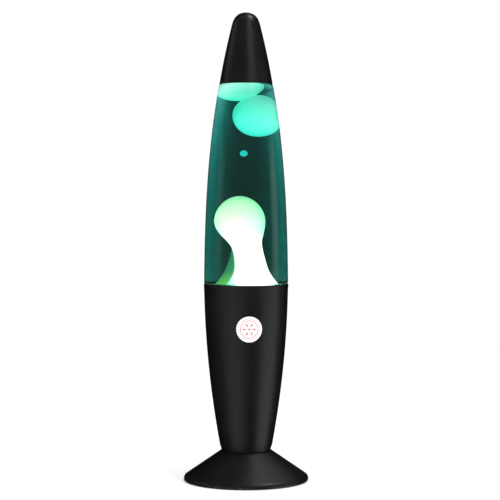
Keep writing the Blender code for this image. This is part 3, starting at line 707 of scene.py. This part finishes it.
# The column of wax leans: each station is (height, x of its middle, radius).
COLUMN_STATIONS = (
    (0.1190, 0.0000, 0.0320),
    (0.1310, 0.0005, 0.0310),
    (0.1430, 0.0032, 0.0225),
    (0.1540, 0.0043, 0.0154),
    (0.1600, 0.0040, 0.0120),
    (0.1660, 0.0035, 0.0098),
    (0.1740, 0.0025, 0.0088),
    (0.1820, 0.0010, 0.0088),
    (0.1880, -0.0008, 0.0102),
    (0.1940, -0.0026, 0.0130),
    (0.1990, -0.0035, 0.0146),
    (0.2030, -0.0038, 0.0151),
)
COLUMN_HEAD_HEIGHT = 0.0206


def wall_limit(z):
    """How far from the axis wax can be at a height."""
    inner = np.array(inside_outline())
    above_the_floor = inner[:, 1] > 0.1215
    return float(np.interp(z, inner[above_the_floor, 1], inner[above_the_floor, 0])) - WAX_GAP


LIMITS_FROM, LIMITS_STEP = 0.12, 0.0005
WALL_LIMITS = [wall_limit(LIMITS_FROM + LIMITS_STEP * i) for i in range(420)]


def pressed(point):
    """Keeps a wax point inside the glass and under the liquid's top."""
    x, y, z = point
    z = min(max(z, 0.1221), LIQUID_TOP_Z - 0.0004)
    row = int((z - LIMITS_FROM) / LIMITS_STEP)
    limit = WALL_LIMITS[min(max(row, 0), len(WALL_LIMITS) - 1)]
    reach = math.hypot(x, y)
    if reach > limit:
        x, y = x * limit / reach, y * limit / reach
    return x, y, z


def wax_column():
    """Leaning column with a round head, a lower shelf of wax behind it, and a groove for the coil.

    The "shelf" attribute is 1 on the shelf and 0 on the column, for the glow, which is dimmer on the shelf as
    painted shade."""
    path = np.array([tuple(v) for v in smooth_curve(COLUMN_STATIONS, 10)])
    head_z, _, head_r = path[-1]

    def shape(r, z, angle):
        if z < HEEL_TOP_Z:
            return pressed(around(r, z, angle))
        lean = float(np.interp(z, path[:, 0], path[:, 1]))
        rise = min(max((z - WAX_BASE_Z) / (SHELF_TOP - WAX_BASE_Z), 0), 1)
        behind = max(math.cos((angle - SHELF_ANGLE) / 2), 0) ** 50
        if r > 0:
            r += SHELF_REACH * behind * (1 - rise**2.2)
            ripple = noise.noise(Vector((math.cos(angle), math.sin(angle), z * 60))) * 0.0003
            r += ripple * min(r / 0.004, 1)
        return pressed((lean + r * math.cos(angle), r * math.sin(angle), z))

    bottom = profile(
        (0, 122.0),
        (15.9, 122.0, 0.5),
        (15.9, 129.9, 1.5),
        (24.1, 129.9, 1.5),
        (24.1, 122.0, 0.5),
    )
    side = [(r, z) for z, _, r in path if z > 0.1225]
    turns = np.linspace(0, math.pi / 2, 22)[1:]
    head = [(head_r * math.cos(a), head_z + COLUMN_HEAD_HEIGHT * math.sin(a)) for a in turns]
    head[-1] = (0, head[-1][1])
    made = turned("wax_column_fine", bottom + side + head, WAX, FINE, shape, sharp=60)
    shelf = made.data.attributes.new("shelf", "FLOAT", "POINT")
    for v, value in zip(made.data.vertices, shelf.data):
        x, y, z = v.co
        lean, radius = (float(np.interp(z, path[:, 0], path[:, i])) for i in (1, 2))
        beyond = math.hypot(x - lean, y) - radius
        near_the_shelf = 0.1400 < z < SHELF_TOP + 0.002
        value.value = min(max((beyond - 0.0003) / 0.0010, 0), 1) if near_the_shelf else 0
    fit(made, "globe", "wax")


def blob(name, body, middle, radii, seed, lumps=0.0004):
    """A ball of wax, a little uneven, pressed against whatever glass it meets."""
    bm = bmesh.new()
    bmesh.ops.create_uvsphere(bm, u_segments=80, v_segments=48, radius=1)
    for v in bm.verts:
        lump = noise.noise(v.co * 1.1 + Vector((seed, 0, 0)))
        grow = 1 + lump * lumps / max(radii)
        v.co = Vector(c * r * grow for c, r in zip(v.co, radii)) + Vector(middle)
        v.co = pressed(v.co)
    fit(keep_mesh(name, bm, WAX, sharp=60), body, "wax")


def wax_pieces():
    wax_column()
    blob("wax_ball_fine", "globe", (0.0078, -0.0012, 0.2858), (0.0159, 0.0155, 0.0162), 3.1)
    blob("wax_top_fine", "globe", (-0.0058, 0.0010, 0.3168), (0.0180, 0.0165, 0.0194), 7.7)
    low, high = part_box("wax_drop")
    radii = [(high.z - low.z) / 2 * share for share in (1.0, 1.0, 0.98)]
    blob("wax_drop_fine", "drop", (low + high) / 2, radii, 5.5, lumps=0.0001)


def heating_coil():
    """Spring wound into a ring on the globe's floor."""
    turns, per_turn, orbit, radius, middle_z = 34, 20, 0.0200, 0.0031, 0.1258
    points = []
    for i in range(turns * per_turn):
        wind, turn = math.tau * i / per_turn, math.tau * i / (turns * per_turn)
        points.append(around(orbit + radius * math.cos(wind), middle_z + radius * math.sin(wind), turn))
    fit(wire("heating_coil_fine", points, 0.00040, SPRING, closed=True), "globe", "steel")


def crown():
    """Crimped crown cap, and the sealing disc in it."""
    flutes = 21

    def fluted(r, z, angle):
        depth = min(max((0.3349 - z) / 0.0035, 0), 1) * 0.00042
        r += depth * (math.cos(flutes * angle) - 1) if r > 0.0128 else 0
        return around(r, z, angle)

    outline = profile(
        (0, 335.7),
        (13.2, 335.7, 1.2),
        (14.35, 333.2, 0.9),
        (14.4, 329.95, 0.1),
        (14.2, 329.9, 0.1),
        (13.95, 333.2, 0.8),
        (12.9, 335.1, 0.8),
        (0, 335.1),
    )
    fit(turned("crown_cap_fine", outline, ZINC, 168, fluted), "globe", "steel")
    liner = profile((0, 334.3), (12.0, 334.3, 0.2), (12.0, 334.8, 0.2), (0, 334.8))
    fit(turned("crown_liner_fine", liner, NYLON), "globe", "nylon")


# The lamp gear in the base.


def threaded(r, z, angle, start, end, pitch, depth):
    """A point with a right-hand thread cut into it between two heights."""
    fade = min(max((z - start) / pitch, 0), 1) * min(max((end - z) / pitch, 0), 1)
    wave = 0.5 + 0.5 * math.cos(math.tau * (z / pitch - angle / math.tau))
    return around(r - depth * fade * wave, z, angle)


def spine():
    """Threaded nipple, its two nuts and the toothed washer."""
    low_z, high_z = 0.0150, 0.0315
    thread = [(0.0048, z) for z in np.linspace(0.0153, 0.0312, 128)]
    outline = [(0.0033, low_z), (0.0045, low_z)] + thread + [(0.0045, high_z), (0.0033, high_z)]

    def nipple_thread(r, z, angle):
        if r < 0.0046:
            return around(r, z, angle)
        return threaded(r, z, angle, low_z, high_z, 0.0010, 0.00045)

    fit(turned("threaded_nipple_fine", outline, ZINC, SMALL, nipple_thread), "base", "steel")
    for name in ("nut_lower", "nut_upper"):
        low, high = (corner.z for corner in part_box(name))
        hex_nut(name + "_fine", low, high)

    def toothed(r, z, angle):
        if r >= 0.006:
            return around(r, z, angle)
        between_teeth = 0.0010 if math.cos(18 * angle) > 0 else 0
        return around(r + between_teeth, z + 0.00025 * math.sin(18 * angle), angle)

    washer = profile((5.2, 21.7), (8.2, 21.45, 0.1), (8.2, 22.35, 0.1), (5.2, 22.1))
    fit(turned("lock_washer_fine", washer, ZINC, 108, toothed), "base", "steel")


def hex_nut(name, low, high):
    """Hexagon nut with chamfered corners."""
    corner, flat = 0.0081, 0.0081 * math.cos(math.radians(30))

    def hexagon(r, z, angle):
        if r > 0.0060:
            turn = (angle + math.radians(30)) % math.radians(60) - math.radians(30)
            chamfer = flat + 0.0001 + 1.7 * min(z - low, high - z)
            r = min(r, chamfer, flat / math.cos(abs(turn) - math.radians(30)))
        return around(r, z, angle)

    rows = [(corner, z) for z in np.linspace(low, high, 13)]
    bore = [(0.0051, high - 0.0005), (0.0051, low + 0.0005)]
    outline = [(0.0056, low), (0.0062, low)] + rows + [(0.0062, high), (0.0056, high)] + bore
    fit(turned(name, outline, ZINC, 96, hexagon), "base", "steel")


def seat_and_gasket():
    """Pressed ring that wedges in the cup's taper, and the ring of silicone that the globe stands on."""
    skirt = [(cup_radius(z) - SHEET - 0.00035, z) for z in np.linspace(0.1160, 0.1080, 7)]
    inner = [(r - 0.0009, z) for r, z in skirt[:0:-1]]
    ledge = profile(
        (28.8, 115.2, 0.3),
        (22.4, 115.2, 0.4),
        (22.0, 114.4, 0.2),
        (21.2, 114.4, 0.2),
        (21.6, 116.15, 0.5),
    )
    fit(turned("globe_seat_fine", skirt + inner + ledge, ZINC, FINE), "base", "steel")
    gasket = profile((22.8, 116.5, 0.3), (28.6, 116.5, 0.3), (28.6, 117.7, 0.4), (22.8, 117.7, 0.4))
    fit(turned("seat_gasket_fine", gasket, SILICONE, FINE), "base", "silicone")


def socket():
    """Moulded body, its rolled screw shell and the screws in its sides."""
    body = profile((0, 36), (12, 36, 0.5), (12, 61, 0.6), (9.5, 61, 0.3), (9.5, 41, 0.3), (0, 41))
    made = turned("socket_body_fine", body, PHENOLIC)
    cut(made, hole_cutter(0.0013, 0.008, [(-0.012, 0, SOCKET_SCREW_Z), (0.012, 0, SOCKET_SCREW_Z)], "X"))
    cut(made, hole_cutter(0.0013, 0.010, [(0, 0.012, SOCKET_SCREW_Z)], "Y"))
    fit(made, "base", "phenolic")
    outer = [(0.0092, z) for z in np.linspace(0.0424, 0.0602, 70)]
    inner = [(0.0088, z) for z in np.linspace(0.0602, 0.0428, 70)]
    outline = [(0.0059, 0.0420), (0.0089, 0.0420)] + outer + [(0.0090, 0.0604)] + inner + [(0.0059, 0.0426)]

    def rolled(r, z, angle):
        if r < 0.0087:
            return around(r, z, angle)
        return threaded(r, z, angle, 0.0420, 0.0604, SCREW_PITCH, 0.0003)

    fit(turned("socket_screw_shell_fine", outline, BRASS, MEDIUM, rolled), "base", "brass")
    for name, finish, slot, place, turn_z in (
        ("socket_screw_live", BRASS, "brass", (-0.0138, 0), -math.pi / 2),
        ("socket_screw_neutral", NICKEL, "nickel", (0.0138, 0), math.pi / 2),
        ("bracket_screw", ZINC, "steel", (0, 0.0152), math.pi),
    ):
        outline = profile((0, 0), (2.1, 0, 0.3), (2.1, -1.4, 0.1), (1.0, -1.4), (1.0, -4.4, 0.2), (0, -4.6))
        made = turned(name + "_fine", outline, finish, SMALL)
        cut(made, box_cutter((0.0050, 0.0006, 0.0012), (0, 0, 0)))
        fit(placed(made, *place, SOCKET_SCREW_Z, turn_x=math.pi / 2, turn_z=turn_z), "base", slot)


def bulb():
    """Clear round bulb on a small screw base."""
    contact = profile((0, 43.2), (1.6, 43.25, 0.6), (3.1, 44.3, 0.5), (3.1, 45.0, 0.1), (0, 45.0))
    fit(turned("bulb_contact_fine", contact, NICKEL, SMALL), "bulb_tip", "nickel")
    insulator = profile(
        (0, 45.3),
        (3.4, 45.3, 0.4),
        (4.8, 46.3, 0.5),
        (7.4, 49.2, 0.5),
        (7.4, 49.8, 0.2),
        (0, 49.8),
    )
    fit(turned("bulb_insulator_fine", insulator, PHENOLIC), "bulb", "phenolic")
    outer = [(0.0082, z) for z in np.linspace(0.0504, 0.0619, 60)]
    inner = [(0.0079, z) for z in np.linspace(0.0619, 0.0504, 60)]
    outline = [(0.0077, 0.0501), (0.0079, 0.0501)] + outer + [(0.0080, 0.0623), (0.0077, 0.0623)] + inner

    def rolled(r, z, angle):
        return threaded(r, z, angle, 0.0501, 0.0623, SCREW_PITCH, 0.0003)

    fit(turned("bulb_screw_shell_fine", outline, NICKEL, MEDIUM, rolled), "bulb", "nickel")
    ball = [math.radians(a) for a in np.linspace(-44, 90, 40)]
    neck = smooth_curve([(0.0070, 0.0520), (0.0070, 0.0620), (0.0078, 0.0652), (0.0100, 0.0687)], 6)
    outside = [tuple(v) for v in neck]
    outside += [(BULB_RADIUS * math.cos(a), BULB_MIDDLE_Z + BULB_RADIUS * math.sin(a)) for a in ball[6:]]
    outside[-1] = (0, BULB_MIDDLE_Z + BULB_RADIUS)
    inside = offset(outside, BULB_WALL)
    inside[-1] = (0, BULB_MIDDLE_Z + BULB_RADIUS - BULB_WALL)
    fit(turned("bulb_glass_fine", outside + inside[::-1], BULB_GLASS, 96, sharp=60), "bulb", "bulb_glass")
    stem = profile((0, 52.4), (6.1, 52.4, 0.3), (5.4, 54.0, 0.8), (2.8, 58.5, 1.5), (2.0, 70, 0.6), (0, 70.5))
    fit(turned("bulb_stem_fine", stem, BULB_GLASS, SMALL), "bulb", "bulb_glass")
    for side, word in ((-1, "left"), (1, "right")):
        route = [
            (side * 0.0008, 0, 0.0706),
            (side * 0.0016, 0, 0.0740),
            (side * 0.0040, 0, 0.0790),
            (side * 0.0062, 0, 0.0830),
        ]
        fit(wire(f"bulb_lead_{word}_fine", smooth_curve(route, 8), 0.0003, NICKEL), "bulb", "nickel")
    filament()


def filament():
    """Fine coil of tungsten hung in a zigzag."""
    heights = (0.0840, 0.0885, 0.0845, 0.0900, 0.0845, 0.0885, 0.0840)
    corners = [Vector((-0.0057 + 0.0019 * i, 0, z)) for i, z in enumerate(heights)]
    turns, steps, coil_radius = 12, 90, 0.00013
    depth = Vector((0, 1, 0))
    points = []
    for start, end in zip(corners, corners[1:]):
        side = (end - start).normalized().cross(depth)
        for i in range(steps):
            a = math.tau * i * turns / steps
            swing = side * math.cos(a) + depth * math.sin(a)
            points.append(start.lerp(end, i / steps) + swing * coil_radius)
    fit(wire("bulb_filament_fine", points, 0.00005, TUNGSTEN), "bulb", "tungsten")


# Underneath.


def underside():
    """Bottom plate with a ring groove and vents, the cord's inlet bush, four pads and three screws."""
    plate = profile(
        (0, 2.2),
        (11, 2.2),
        (30.0, 2.2, 0.4),
        (30.6, 2.6, 0.3),
        (33.0, 2.6, 0.3),
        (33.6, 2.2, 0.4),
        (46.3, 2.2, 0.4),
        (46.3, 3.4, 0.2),
        (0, 3.4),
    )
    middle_z = 0.0028
    made = turned("bottom_plate_fine", plate, PLASTIC, FINE)
    cut(made, inlet_notch())
    cut(made, ring_of_holes(0.0017, 0.004, 0.012, middle_z, range(0, 360, 45)))
    cut(made, plate_screw_holes(0.004, middle_z))
    fit(made, "base", "plastic")
    bush = inlet_arch("cord_inlet_bush_fine", 3.5, 8.6, 1.1, 40.5, LIP_RADIUS / MM, RUBBER)
    soften = bush.modifiers.new("soften", "BEVEL")
    soften.width, soften.segments = 0.0004, 3
    cut(bush, hole_cutter(0.0019, 0.03, [(0, LIP_RADIUS, 0.005)], "Y"))
    fit(bush, "base", "rubber")
    outline = profile(
        (0, 0),
        (3.4, 0),
        (3.6, 0.12, 0.1),
        (3.8, 0, 0.1),
        (6.0, 0, 0.5),
        (6.0, 1.9, 0.2),
        (0, 1.9),
    )
    for i in (1, 2, 3, 4):
        low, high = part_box(f"foot_pad_{i}")
        pad = turned(f"foot_pad_{i}_fine", outline, RUBBER, MEDIUM)
        fit(placed(pad, *((low + high) / 2).to_2d()), "base", "rubber")
    outline = profile(
        (0, 0.8),
        (1.5, 0.8, 0.3),
        (2.1, 1.3, 0.2),
        (2.1, 1.9, 0.1),
        (0.95, 1.9),
        (0.95, 5.8),
        (0, 6.5),
    )
    for i, (x, y) in enumerate(PLATE_SCREWS, 1):
        screw = turned(f"plate_screw_{i}_fine", outline, ZINC, SMALL)
        for turn in (0.4, 0.4 + math.pi / 2):
            cut(screw, box_cutter((0.0024, 0.0005, 0.0011), (0, 0, 0.0009), turn))
        fit(placed(screw, x, y), "base", "steel")


def supply():
    """Terminal screws and the leads up through the nipple."""
    for side, finish, word in ((-1, BLACK_LEAD, "live"), (1, WHITE_LEAD, "neutral")):
        outline = profile((0, 10.2), (1.6, 10.2), (1.6, 12.1, 0.3), (0, 12.1))
        screw = turned(f"block_screw_{word}_fine", outline, BRASS, SMALL)
        cut(screw, box_cutter((0.0040, 0.0005, 0.0012), (0, 0, 0.0121), 0.5 * side))
        fit(placed(screw, side * 0.0045, 0.022), "base", "brass")
        route = [
            (side * 0.0045, 0.0156, 0.0080),
            (side * 0.0038, 0.0110, 0.0078),
            (side * 0.0020, 0.0040, 0.0098),
            (side * 0.0015, 0.0003, 0.0150),
            (side * 0.0015, 0.0000, 0.0220),
            (side * 0.0015, 0.0000, 0.0300),
            (side * 0.0032, 0.0000, 0.0334),
            (side * 0.0080, 0.0000, 0.0340),
            (side * 0.0126, 0.0000, 0.0342),
            (side * 0.0142, 0.0000, 0.0358),
        ]
        lead = wire(f"lead_{word}_fine", smooth_curve(route, 8), 0.0010, finish)
        fit(lead, "base", "black_lead" if side < 0 else "white_lead")


def carried_over():
    """The CAD nodes that are kept get their material and slightly broken edges."""
    for name, finish, slot in (
        ("socket_bracket", ZINC, "steel"),
        ("socket_contact", BRASS, "brass"),
        ("terminal_block", NYLON, "nylon"),
    ):
        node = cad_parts[name]
        node.data.materials.clear()
        node.data.materials.append(finish)
        soften = node.modifiers.new("soften", "BEVEL")
        soften.width, soften.segments, soften.limit_method = 0.00012, 2, "ANGLE"


# The studio.


def studio_floor():
    """Pale floor that fades into the pale surround."""
    reach = 1.5
    outline = [(0, 0), (reach, 0), (reach, -0.002), (0, -0.002)]
    floor = turned("studio_floor", outline, None, 96)
    n = Nodes("pale_floor", Roughness=0.55)
    x, y, _ = n.split()
    grain = n.blend(n.noise(900, 3), (0.93, 0.93, 0.93), (0.96, 0.96, 0.96))
    fade = n.spread(n.from_middle(x, y), reach * 0.95, reach * 0.3)
    n.set(n.shader, Base_Color=grain, Specular_IOR_Level=0.1, Alpha=fade)
    floor.data.materials.append(n.material)
    floor.visible_glossy = False
    floor.visible_transmission = False


PANEL_EDGE = 9  # degrees over which a panel fades at its top and bottom


class Sky:
    """The room as the world's nodes: what a ray sees depends on its direction, in soft-edged panels."""

    def __init__(self):
        world = bpy.data.worlds.new("studio")
        world.use_nodes = True
        world.cycles.sampling_method = "NONE"
        bpy.context.scene.world = world
        self.tree = world.node_tree
        self.rays = self.tree.nodes.new("ShaderNodeLightPath").outputs
        direction = self.tree.nodes.new("ShaderNodeTexCoord").outputs["Generated"]
        split = self.tree.nodes.new("ShaderNodeSeparateXYZ")
        self.tree.links.new(direction, split.inputs[0])
        x, y, z = split.outputs
        self.azimuth = self.maths("ARCTAN2", x, self.maths("MULTIPLY", y, -1.0))
        self.elevation = self.maths("ARCSINE", z)

    def maths(self, what, a, b=0.0):
        return tree_maths(self.tree, what, a, b)

    def soft(self, angle, middle, half, edge):
        """1 within half degrees of the middle, falling to 0 over the edge."""
        away = self.maths("ABSOLUTE", self.maths("SUBTRACT", angle, math.radians(middle)))
        made = self.tree.nodes.new("ShaderNodeMapRange")
        made.interpolation_type = "SMOOTHSTEP"
        made.inputs["From Min"].default_value = math.radians(half + edge)
        made.inputs["From Max"].default_value = math.radians(half)
        self.tree.links.new(away, made.inputs["Value"])
        return made.outputs["Result"]

    def panels(self, base, *panels):
        """Panels over a base level, each (azimuth, half width, edge, low elevation, high elevation, level).

        Angles are in degrees. Azimuth is 0 at the front, behind the camera, and 90 to the right."""
        total = base
        for azimuth, half, edge, low, high, level in panels:
            across = self.soft(self.azimuth, azimuth, half, edge)
            upward = self.soft(self.elevation, (low + high) / 2, (high - low) / 2, PANEL_EDGE)
            share = self.maths("MULTIPLY", across, upward)
            total = self.maths("ADD", self.maths("MULTIPLY", share, level), total)
        return total

    def add_up(self, levels):
        """Sets the world's strength for each kind of ray."""
        total = 0.0
        for ray, level in levels.items():
            total = self.maths("ADD", self.maths("MULTIPLY", self.rays[ray], level), total)
        sky = self.tree.nodes["Background"]
        sky.inputs["Color"].default_value = (1, 1, 1, 1)
        self.tree.links.new(total, sky.inputs["Strength"])


def surround():
    """A pale room, with soft panels that the paint and the glass pick up."""
    sky = Sky()
    reflected = sky.panels(
        0.0,
        (0, 50, 40, 3, 14, 0.20),  # front: a faint sheen over the cap and the glass
        (73, 15, 22, -60, -8, 0.92),  # low right: the broad highlight of the cup
        (-38, 9, 40, -60, -6, 0.53),  # low left: its dimmer one
        (-102, 6, 12, 20, 30, 0.60),  # left: the cap's outer highlight
        (-82, 6, 12, 2, 6, 0.35),  # left and right: streaks near the glass's edges
        (89, 5, 13, 2, 6, 0.75),
        (29, 7, 14, 28, 52, 1.30),  # higher: the cap's highlight right of the middle
        (-60, 50, 40, 62, 75, 0.2),  # overhead left: the dark side of the foot
        (84, 8, 16, 58, 74, 10.0),  # overhead right: the top of the foot
        (155, 10, 18, 48, 64, 0.45),  # behind and above: the lower part of the foot
    )
    refracted = sky.panels(
        0.30,
        (122, 30, 22, -40, -8, 1.35),  # behind, right and left: the liquid's bright edges
        (-122, 30, 22, -40, -8, 1.25),
        (122, 22, 22, 0, 50, 0.12),
        (-122, 22, 22, 0, 50, 0.12),
    )
    sky.add_up({
        "Is Camera Ray": 1.03,
        "Is Diffuse Ray": 1.08,
        "Is Glossy Ray": reflected,
        "Is Transmission Ray": refracted,
    })


def lights():
    """One large soft light overhead, for the shadow under the lamp."""
    data = bpy.data.lights.new("overhead", "AREA")
    data.size = 1.6
    data.energy = 20.0
    made = bpy.data.objects.new("overhead", data)
    made.location = (0.5, -0.7, 1.9)
    made.rotation_euler = (made.location - Vector((0, 0, 0.1))).to_track_quat("Z", "Y").to_euler()
    made.visible_camera = False
    made.visible_glossy = False
    made.visible_transmission = False
    bpy.context.scene.collection.objects.link(made)


def camera():
    """A long lens at eye level 0.217 m, a little above the middle of the lamp, looking slightly down."""
    data = bpy.data.cameras.new("camera")
    data.lens = 115.2
    made = bpy.data.objects.new("camera", data)
    bpy.context.scene.collection.objects.link(made)
    made.location = (0, -1.26, 0.217)
    aim = Vector((0.0031, 0, 0.1816))
    made.rotation_euler = (aim - made.location).to_track_quat("-Z", "Y").to_euler()
    bpy.context.scene.camera = made


def light_paths():
    """Plain colours, and enough bounces to see through the glass and liquid."""
    scene = bpy.context.scene
    scene.view_settings.view_transform = "Standard"
    scene.cycles.use_denoising = True
    scene.cycles.max_bounces = 24
    scene.cycles.transmission_bounces = 24
    scene.cycles.caustics_reflective = False
    scene.cycles.caustics_refractive = False


foot()
cup()
cap()
label()
globe()
liquid()
wax_pieces()
heating_coil()
crown()
spine()
seat_and_gasket()
socket()
bulb()
underside()
supply()
carried_over()
studio_floor()
surround()
lights()
camera()
light_paths()
